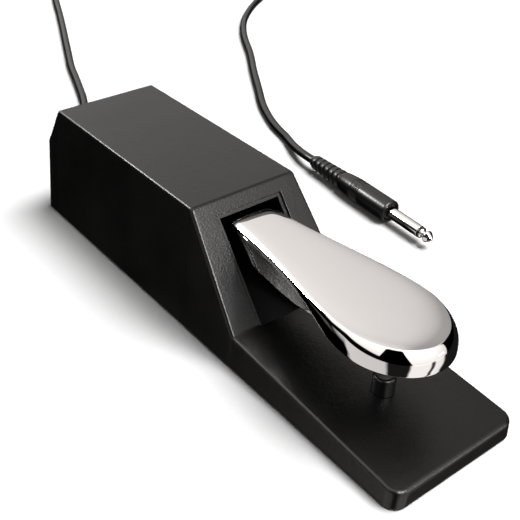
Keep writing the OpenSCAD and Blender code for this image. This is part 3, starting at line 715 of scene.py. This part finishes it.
def housing_section(inset, y, out, stations):
    """The shell's section at a place on the plan: from the top's edge, over the rounding, down the wall."""
    height, normal = top_at(y, stations)
    radius = SIDE_EDGE_R + (FRONT_EDGE_R - SIDE_EDGE_R) * max(0, -out.y) ** 2
    corner = Vector((half_width(height) - inset, y, height))
    centre = corner - (normal + out) * radius / (1 + normal.dot(out))
    points = []
    for k in range(7):
        points.append(centre + normal.slerp(out, k / 6) * radius)
    top = points[-1].z
    for k in range(1, 7):
        z = top + (HOUSING_LOW.z + FOOT_R - top) * k / 6
        points.append(Vector((points[6].x + (top - z) * LEAN, points[6].y, z)))
    wall = points[-1]
    for a in (30, 60, 90):
        a = math.radians(a)
        points.append(wall - out * FOOT_R * (1 - math.cos(a)) - Vector((0, 0, FOOT_R * math.sin(a))))
    return points


def housing_shell():
    """The shell's outside as a closed mesh."""
    stations = top_stations()
    right = [housing_section(*place, stations) for place in housing_plan(stations)]
    points, faces = [], []
    right_ids = [add_points(points, section) for section in right]
    left_ids = [add_points(points, [p * MIRROR for p in section]) for section in right]

    def row(end, k):
        """Points across the front or rear wall, or the top, between the two sides."""
        low = right[end][k]
        xs = [low.x * (2 * i / ACROSS - 1) for i in range(1, ACROSS)]
        return [left_ids[end][k], *add_points(points, [Vector((x, low.y, low.z)) for x in xs]),
                right_ids[end][k]]

    tops = [row(i, 0) for i in range(len(right))]
    for rows, flip in ((right_ids, False), (left_ids, True), (tops, False)):
        for a, b in zip(rows, rows[1:]):
            faces += strip(a, b, flip)
    feet = []
    for end, flip in ((0, True), (-1, False)):
        last = tops[end]
        for k in range(1, len(right[0])):
            level = row(end, k)
            faces += strip(last, level, flip)
            last = level
        feet.append(last)
    front_foot, rear_foot = feet
    faces.append(front_foot[:-1] + [ids[-1] for ids in right_ids[:-1]] + rear_foot[:0:-1]
                 + [ids[-1] for ids in left_ids[:0:-1]])
    piece = mesh_object("housing_shell", points, faces)
    recalculate(piece)
    return piece


def housing_hollow():
    """What is cut from the shell: the room inside it."""
    inner = []
    edges = [(Vector((0, -1, 0)), Vector((0, FRONT_Y, 0)))]
    for (y0, z0), (y1, z1) in zip(TOP_LINE, TOP_LINE[1:]):
        along = Vector((0, y1 - y0, z1 - z0)).normalized()
        edges.append((Vector((0, -along.z, along.y)), Vector((0, y0, z0))))
    edges.append((Vector((0, 1, 0)), Vector((0, REAR_Y, 0))))
    for (n, p), (m, q) in zip(edges, edges[1:]):
        a, b = n.dot(p) - WALL, m.dot(q) - WALL
        det = n.y * m.z - n.z * m.y
        inner.append(((a * m.z - b * n.z) / det, (n.y * b - m.y * a) / det))
    inner = [(FRONT_Y + WALL, -0.002)] + inner + [(REAR_Y - WALL, -0.002)]
    points = []
    for side in (-1, 1):
        points += [Vector((side * (half_width(z) - WALL * math.hypot(1, LEAN)), y, z)) for y, z in inner]
    n = len(inner)
    faces = [list(range(n)), list(range(2 * n - 1, n - 1, -1))]
    faces += [[i, (i + 1) % n, n + (i + 1) % n, n + i] for i in range(n)]
    piece = mesh_object("hollow", points, faces, smooth=False)
    recalculate(piece)
    return piece


SLOPE_FOOT = Vector((0, *TOP_LINE[1]))
SLOPE_UP = (Vector((0, *TOP_LINE[2])) - SLOPE_FOOT).normalized()
SLOPE_OUT = Vector((0, -SLOPE_UP.z, SLOPE_UP.y))
SLOPE_TURN = Matrix((Vector((1, 0, 0)), SLOPE_UP, SLOPE_OUT)).transposed()
ON_SLOPE = Matrix.Translation(SLOPE_FOOT) @ SLOPE_TURN.to_4x4()
RECESS_HALF, RECESS_TOP, RECESS_DEEP = 0.0175, 0.0497, 0.0012
WINDOW_HALF, WINDOW_TOP = 0.0159, 0.0481
SLOT_FOOT = -0.001
BOSS_X, BOSS_R, SCREW_R = 0.024, 0.0035, 0.0015
# Along Y: a height within the roof, where the boss ends
BOSS_TOP = [(-0.118, 0.0092), (-0.045, 0.0142), (0.034, 0.0585), (0.119, 0.050)]
BUMPER_LOW, BUMPER_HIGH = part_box("stop_bumper")
BUMPER_X, BUMPER_Y = ((BUMPER_LOW + BUMPER_HIGH) / 2)[:2]
BUMPER_R = (BUMPER_HIGH.x - BUMPER_LOW.x) / 2


def upright(name, x, y, z0, z1, radius, sides=40):
    return lathe(name, [(0, 0), (0, radius), (z1 - z0, radius), (z1 - z0, 0)], (x, y, z0), (0, 0, 1), sides)


def weigh_edges(piece, chosen):
    """Gives the chosen edges full bevel weight."""
    mesh = piece.data
    weights = mesh.attributes.new("bevel_weight_edge", "FLOAT", "EDGE")
    for edge in mesh.edges:
        a, b = (mesh.vertices[i].co for i in edge.vertices)
        if chosen(a, b):
            weights.data[edge.index].value = 1


def on_slot_edge(a, b):
    """True for the edges of the recess and of the window in it."""
    a, b = (ON_SLOPE.inverted() @ p for p in (a, b))
    near = 2e-5

    def on(p, half, top, level):
        aside = abs(abs(p.x) - half) < near and p.y < top + near
        above = abs(p.y - top) < near and abs(p.x) < half + near
        return (aside, above, abs(p.z - level) < near)

    for half, top, level in ((RECESS_HALF, RECESS_TOP, 0), (WINDOW_HALF, WINDOW_TOP, -RECESS_DEEP)):
        first, second = on(a, half, top, level), on(b, half, top, level)
        if first[2] and second[2] and ((first[0] and second[0]) or (first[1] and second[1])):
            return True
    return False


def make_housing():
    piece = housing_shell()
    places = [(side * BOSS_X, y, top) for y, top in BOSS_TOP for side in (-1, 1)]
    bosses = [upright("boss", x, y, 0.0025, top, BOSS_R) for x, y, top in places]
    combine(piece, [housing_hollow()], "DIFFERENCE")
    combine(piece, bosses, "UNION")
    cuts = [upright("screw", x, y, 0.001, 0.0075, SCREW_R, 24) for x, y, top in places]
    cuts += [
        box_object("recess", (-RECESS_HALF, SLOT_FOOT, -RECESS_DEEP), (RECESS_HALF, RECESS_TOP, 0.02),
                   ON_SLOPE),
        box_object("window", (-WINDOW_HALF, SLOT_FOOT, -0.012), (WINDOW_HALF, WINDOW_TOP, 0.01),
                   ON_SLOPE),
        upright("bumper_seat", BUMPER_X, BUMPER_Y, 0.0115, 0.0165, BUMPER_R + 0.0002, 64),
        upright("bumper_stem", BUMPER_X, BUMPER_Y, -0.001, 0.02, 0.00255),
        lathe("relief_hole", [(0, 0), (0, 0.00425), (0.01, 0.00425), (0.01, 0)],
              (EXIT.x, REAR_Y - 0.005, EXIT.z), (0, 1, 0), 48),
    ]
    combine(piece, cuts, "DIFFERENCE")
    piece.data.shade_smooth()
    weigh_edges(piece, on_slot_edge)
    bevel = piece.modifiers.new("slot_edges", "BEVEL")
    bevel.limit_method = "WEIGHT"
    bevel.width = 0.00035
    bevel.segments = 3
    bevel.use_clamp_overlap = False
    bake_modifiers(piece)
    piece.data.set_sharp_from_angle(angle=math.radians(35))
    normals = piece.modifiers.new("normals", "WEIGHTED_NORMAL")
    normals.keep_sharp = True
    normals.weight = 80
    return piece


finish_piece(make_housing(), "housing_plastic", "base", "housing")


# ---------- bumper, strain relief and plug ----------

def rounded_line(outline, radius, steps=4):
    """A turned piece's outline with its corners rounded, apart from its two ends."""
    line = [Vector(outline[0])]
    for before, corner, after in zip(outline, outline[1:], outline[2:]):
        before, corner, after = Vector(before), Vector(corner), Vector(after)
        reach = min(radius, (before - corner).length * 0.45, (after - corner).length * 0.45)
        start = corner + (before - corner).normalized() * reach
        end = corner + (after - corner).normalized() * reach
        for k in range(steps + 1):
            t = k / steps
            line.append(start * (1 - t) ** 2 + corner * 2 * t * (1 - t) + end * t * t)
    line.append(Vector(outline[-1]))
    return line


def make_bumper():
    """A turned rubber post with a soft rim and a shallow dimple, and a stem with a screw hole below."""
    height = BUMPER_HIGH.z - BUMPER_LOW.z
    stem_l, stem_r, hole_r, rim = 0.0024, 0.0025, 0.00125, 0.0011
    outline = [(0, hole_r), (0, stem_r - 0.0002), (0.0002, stem_r), (stem_l, stem_r),
               (stem_l, BUMPER_R - 0.0004), (stem_l + 0.0004, BUMPER_R),
               ((stem_l + height) / 2, BUMPER_R - 0.00005)]
    outline += [(height - rim + rim * math.sin(a), BUMPER_R - rim + rim * math.cos(a))
                for a in quarter_turn(8)]
    outline += [(height - 0.0001, BUMPER_R - 0.0019), (height - 0.0004, BUMPER_R - 0.0027),
                (height - 0.00045, 0), (0.0069, 0), (0.0069, hole_r), (0, hole_r)]
    return lathe("bumper", outline, (BUMPER_X, BUMPER_Y, BUMPER_LOW.z), (0, 0, 1), 72)


finish_piece(make_bumper(), "rubber", "base", "stop_bumper")


def make_relief():
    """The tapered rubber sleeve where the cord leaves the rear wall, with rings that let it bend."""
    inner = CORD_D / 2 + 0.00002
    neck, flange = 0.0042, 0.006
    flange_t = 0.002
    wall = WALL + flange_t  # from the sleeve's inner end to the rear face
    outline = [(0, inner), (0, flange), (flange_t, flange), (flange_t, neck), (wall, neck),
               (wall, flange), (wall + 0.0018, flange), (wall + 0.0028, 0.0046)]
    for i in range(5):
        along, radius = wall + 0.005 + 0.005 * i, 0.0045 - 0.00022 * i
        outline += [(along, radius), (along + 0.0022, radius), (along + 0.0026, radius - 0.0006),
                    (along + 0.0044, radius - 0.0006)]
    end = wall + 0.030
    outline += [(end - 0.0004, 0.0033), (end, 0.003), (end, inner)]
    outline = rounded_line(outline, 0.0004)
    return lathe("relief_sleeve", outline + [outline[0]], (EXIT.x, REAR_Y - wall, EXIT.z), (0, 1, 0), 64)


relief = make_relief()
finish_piece(relief, "rubber", "base", "strain_relief")

PLUG_START = Vector((0.1103, 0.075, 0.0063))
PLUG_AXIS = Vector((-math.sin(math.radians(4)), -math.cos(math.radians(4)), 0))
BOOT_L, CONE_L, GRIP_L = 0.027, 0.013, 0.040
GRIP_R = 0.0063
JACK_R = 0.003175
SET_IN = 0.0018  # how far into the grip the metal sleeve starts
SLEEVE_L, GAP_L, TIP_L = 0.0225, 0.0012, 0.0078


def on_plug(name, along, outline, radius):
    outline = rounded_line(outline, radius)
    return lathe(name, outline, PLUG_START + PLUG_AXIS * along, PLUG_AXIS, 72)


def make_boot():
    """The plug's bend relief: a collar where the cord goes in, then rings."""
    outline = [(0, 0), (0, 0.0031), (0.0012, 0.0035), (0.0016, 0.0029)]
    for i in range(6):
        along, radius = 0.0024 + 0.0041 * i, 0.0041 + 0.00018 * i
        outline += [(along - 0.0003, radius - 0.0012), (along, radius), (along + 0.0022, radius + 0.0001),
                    (along + 0.0025, radius - 0.0011)]
    return on_plug("plug_boot_sleeve", 0, outline + [(BOOT_L, 0.0040), (BOOT_L, 0)], 0.0003)


def make_grip():
    """The plug's barrel: a cone, a band of fine grooves, a plain grip and a recess round the jack."""
    cone_r = 0.0052
    outline = [(0, 0), (0, cone_r - 0.0005), (0.0008, cone_r)]
    outline += [(CONE_L * t, cone_r + (GRIP_R - cone_r) * (1 - (1 - t) ** 1.6))
                for t in (0.25, 0.5, 0.75, 0.9)]
    for i in range(6):
        along = CONE_L - 0.0016 + 0.0013 * i
        outline += [(along - 0.0003, GRIP_R - 0.00035), (along + 0.0003, GRIP_R - 0.00035),
                    (along + 0.0004, GRIP_R), (along + 0.0009, GRIP_R)]
    outline += [(GRIP_L - 0.0007, GRIP_R), (GRIP_L, GRIP_R - 0.0008), (GRIP_L, 0.0050),
                (GRIP_L - SET_IN, 0.0046), (GRIP_L - SET_IN, 0)]
    return on_plug("plug_barrel", BOOT_L, outline, 0.0003)


def make_jack():
    """The plug's metal sleeve."""
    outline = [(-SET_IN, 0), (-SET_IN, JACK_R), (SLEEVE_L, JACK_R), (SLEEVE_L, 0)]
    return on_plug("plug_shaft", BOOT_L + GRIP_L, outline, 0.0002)


def make_gap():
    outline = [(0, 0), (0, JACK_R - 0.0001), (GAP_L, JACK_R - 0.0001), (GAP_L, 0)]
    return on_plug("plug_ring", BOOT_L + GRIP_L + SLEEVE_L, outline, 0.00005)


def make_tip():
    """The jack's tip: a waist, a shoulder and a blunt cone."""
    outline = [(0, 0), (0, 0.0026), (0.0005, 0.0026), (0.0008, 0.0019), (0.0018, 0.0018), (0.0030, 0.0023),
               (0.0036, 0.0030), (0.0039, JACK_R), (0.0043, JACK_R), (0.0060, 0.0021), (0.0074, 0.0008),
               (TIP_L, 0.0003), (TIP_L, 0)]
    return on_plug("plug_point", BOOT_L + GRIP_L + SLEEVE_L + GAP_L, outline, 0.0002)


plug_pieces = [make_boot(), make_grip(), make_jack(), make_gap(), make_tip()]
plug_slots = ("rubber", "plug_plastic", "plug_nickel", "plug_plastic", "plug_nickel")
plug_nodes = ("plug_boot", "plug_grip", "plug_sleeve", "plug_insulator", "plug_tip")
for piece, slot, node in zip(plug_pieces, plug_slots, plug_nodes):
    finish_piece(piece, slot, "base", node)


# ---------- inside: the cord's end and the return spring ----------

def tube(name, line, radius, sides=20):
    """A closed round tube along a line of points."""
    line = [Vector(p) for p in line]
    points, rings = [], []
    side = (line[1] - line[0]).orthogonal().normalized()
    for i, place in enumerate(line):
        ahead = (line[min(i + 1, len(line) - 1)] - line[max(i - 1, 0)]).normalized()
        side = (side - ahead * side.dot(ahead)).normalized()
        rings.append(add_points(points, circle(place, side, ahead.cross(side), radius, sides)))
    piece = mesh_object(name, points, tube_faces(rings))
    recalculate(piece)
    sharpen(piece, 50)
    return piece


CORD_END_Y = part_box("cord_rear_run")[0].y
stub_line = [(EXIT.x, CORD_END_Y + (EXIT.y - CORD_END_Y) * k / 6, EXIT.z) for k in range(7)]
stub = tube("cord_inner_end", stub_line, CORD_D / 2)
stub.data.materials.append(MATERIALS["cord_rubber"])
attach(stub, "base")


def make_spring():
    """The return spring: a wire wound round the same line as its CAD solid, with closed ends."""
    low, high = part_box("return_spring")
    wire = 0.0018
    radius = (high.x - low.x - wire) / 2
    middle = (low + high) / 2
    turns, closed = 7, 0.9  # closed: the turns at each end that lie against the next one
    steps = turns * 48
    bottom, top = low.z + wire / 2, high.z - wire / 2
    line = []
    for i in range(steps + 1):
        t = turns * i / steps
        if t < closed:
            z = bottom + wire * t / closed
        elif t > turns - closed:
            z = top - wire * (turns - t) / closed
        else:
            z = bottom + wire + (top - bottom - 2 * wire) * (t - closed) / (turns - 2 * closed)
        a = 2 * math.pi * t
        line.append((middle.x + radius * math.cos(a), middle.y + radius * math.sin(a), z))
    return tube("return_coil", line, wire / 2, 12)


spring = make_spring()
finish_piece(spring, "spring_steel", "base", "return_spring")
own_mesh(spring)


# ---------- floor and light ----------

def make_floor():
    size = 3.0
    floor = mesh_object("floor", [(-size, -size, 0), (size, -size, 0), (size, size, 0), (-size, size, 0)],
                        [(0, 1, 2, 3)], smooth=False)
    material, tree, shader = new_material("floor_paper", (0.95, 0.95, 0.95), 0.9)
    grain = object_noise(tree, 0.002, 3)
    tint(tree, grain, (0.94, 0.94, 0.94), (0.96, 0.96, 0.96), shader.inputs["Base Color"])
    floor.data.materials.append(material)
    floor.visible_glossy = False
    floor.visible_diffuse = False


make_floor()

# What a mirror sees below the horizon: (azimuth in degrees, brightness). 0 is in front, 90 to the right
ROOM_BELOW = [(-180, 0), (-128, 0), (-121, 0.7), (-64, 0.65), (-59, 0.01), (-27, 0.01), (-23, 1.0),
              (11, 1.0), (14, 0.05), (19, 0.05), (22, 1.0), (38, 0.9), (44, 0.01), (180, 0.01)]
# The same just below the horizon, where the floor is far away
ROOM_FAR = [(-180, 0), (-141, 0), (-138, 0.08), (-132, 0.08), (-129, 0), (180, 0)]
# Top of the dark band round the horizon: (azimuth in degrees, height on a unit sphere). The white above
# it fades in just under this height
ROOM_BAND = [(-180, 0.16), (-168, 0.2), (-160, 0.55), (-145, 0.65), (-130, 0.4), (-72, 0.3),
             (-65, 0.95), (-36, 0.95), (-30, 0.5), (-22, 0), (48, 0), (57, 0.7), (100, 0.6),
             (118, 0.16), (180, 0.16)]
# Brightness above that band: (height on a unit sphere, brightness), then (azimuth in degrees, share of it)
ROOM_ABOVE = [(0, 0.6), (0.3, 0.68), (0.5, 0.78), (0.63, 0.86), (0.7, 0.86), (0.79, 0.78), (1, 1.1)]
ROOM_AROUND = [(-180, 1.6), (-60, 1.4), (-20, 1.7), (20, 1.7), (45, 1.4), (70, 0.7), (100, 0.4), (118, 0.48),
               (127, 0.87), (137, 1.0), (152, 1.1), (161, 1.6), (180, 1.6)]
WARM = (1.05, 1.0, 0.968)
FILL = 0.03  # how bright the room is for matte surfaces


def math_node(tree, operation, first, second):
    node = tree.nodes.new("ShaderNodeMath")
    node.operation = operation
    for socket, value in zip(node.inputs, (first, second)):
        if isinstance(value, (int, float)):
            socket.default_value = value
        else:
            tree.links.new(value, socket)
    return node.outputs[0]


def ramp_node(tree, value, rows, low, high):
    """A ramp through (place, brightness) rows; places run from low to high, brightness up to 2."""
    ramp = tree.nodes.new("ShaderNodeValToRGB")
    elements = ramp.color_ramp.elements
    while len(elements) < len(rows):
        elements.new(0.5)
    for element, (place, bright) in zip(elements, rows):
        element.position = (place - low) / (high - low)
        element.color = (bright / 2, bright / 2, bright / 2, 1)
    tree.links.new(value, ramp.inputs["Fac"])
    return math_node(tree, "MULTIPLY", ramp.outputs["Color"], 2)


def make_room():
    """What surrounds the scene: bands of light and dark for reflections, plain white for the camera, and
    a faint fill for matte surfaces."""
    world = bpy.data.worlds.new("studio")
    bpy.context.scene.world = world
    world.use_nodes = True
    tree = world.node_tree
    background = tree.nodes["Background"]
    place = tree.nodes.new("ShaderNodeTexCoord")
    axes = tree.nodes.new("ShaderNodeSeparateXYZ")
    tree.links.new(place.outputs["Generated"], axes.inputs[0])
    x, y, z = axes.outputs

    def times(first, second):
        return math_node(tree, "MULTIPLY", first, second)

    def plus(first, second):
        return math_node(tree, "ADD", first, second)

    def step(value, low, high):
        """Rises smoothly from 0 to 1 between low and high."""
        node = tree.nodes.new("ShaderNodeMapRange")
        node.interpolation_type = "SMOOTHSTEP"
        node.inputs["From Min"].default_value = low
        node.inputs["From Max"].default_value = high
        tree.links.new(value, node.inputs["Value"])
        return node.outputs["Result"]

    def around(rows):
        return ramp_node(tree, azimuth, rows, -180, 180)

    turn = math_node(tree, "ARCTAN2", x, times(y, -1))
    azimuth = plus(math_node(tree, "DIVIDE", turn, 2 * math.pi), 0.5)
    down = times(z, -1)
    near = times(around(ROOM_BELOW), step(down, 0.03, 0.07))
    far = times(around(ROOM_FAR), step(down, 0.08, 0.12))
    below = plus(near, times(far, step(z, -0.46, -0.38)))
    above = times(ramp_node(tree, z, ROOM_ABOVE, 0, 1), around(ROOM_AROUND))
    over_band = math_node(tree, "SUBTRACT", z, around(ROOM_BAND))
    seen = plus(below, times(above, step(over_band, -0.1, -0.02)))
    rays = tree.nodes.new("ShaderNodeLightPath")
    plain = plus(times(rays.outputs["Is Camera Ray"], 1 - FILL), FILL)
    glossy = rays.outputs["Is Glossy Ray"]
    strength = plus(times(seen, glossy), times(plain, math_node(tree, "SUBTRACT", 1, glossy)))
    tree.links.new(strength, background.inputs["Strength"])
    background.inputs["Color"].default_value = (*WARM, 1)


make_room()


def area_light(name, place, target, size, power, seen_by):
    """A soft box that lights either the matte side of surfaces or their reflections."""
    light = bpy.data.lights.new(name, "AREA")
    light.shape = "RECTANGLE"
    light.size, light.size_y = size
    light.energy = power
    holder = add_object(name, light)
    holder.location = place
    holder.rotation_euler = (Vector(target) - Vector(place)).to_track_quat("-Z", "Y").to_euler()
    holder.visible_glossy = seen_by == "reflections"
    holder.visible_diffuse = seen_by == "matte"


# Small panels for reflections: name, azimuth and elevation in degrees, size and power
PANELS = [("strip_front", -3, 37, (0.26, 0.2), 8), ("strip_back", -152, 38, (0.26, 0.2), 9),
          ("strip_low", 32, 10, (0.26, 0.08), 1.1), ("spark", 16, 44, (0.14, 0.14), 4.5)]
PANEL_DISTANCE = 1.2
PANEL_AIM = (0, 0, 0.03)

area_light("key", (2.6, -1.8, 6.75), (0, 0, 0), (4.7, 4.7), 870, "matte")
for name, azimuth, elevation, size, power in PANELS:
    azimuth, elevation = math.radians(azimuth), math.radians(elevation)
    level = math.cos(elevation)
    place = Vector((math.sin(azimuth) * level, -math.cos(azimuth) * level, math.sin(elevation)))
    area_light(name, place * PANEL_DISTANCE, PANEL_AIM, size, power, "reflections")
bpy.context.scene.view_settings.view_transform = "Standard"
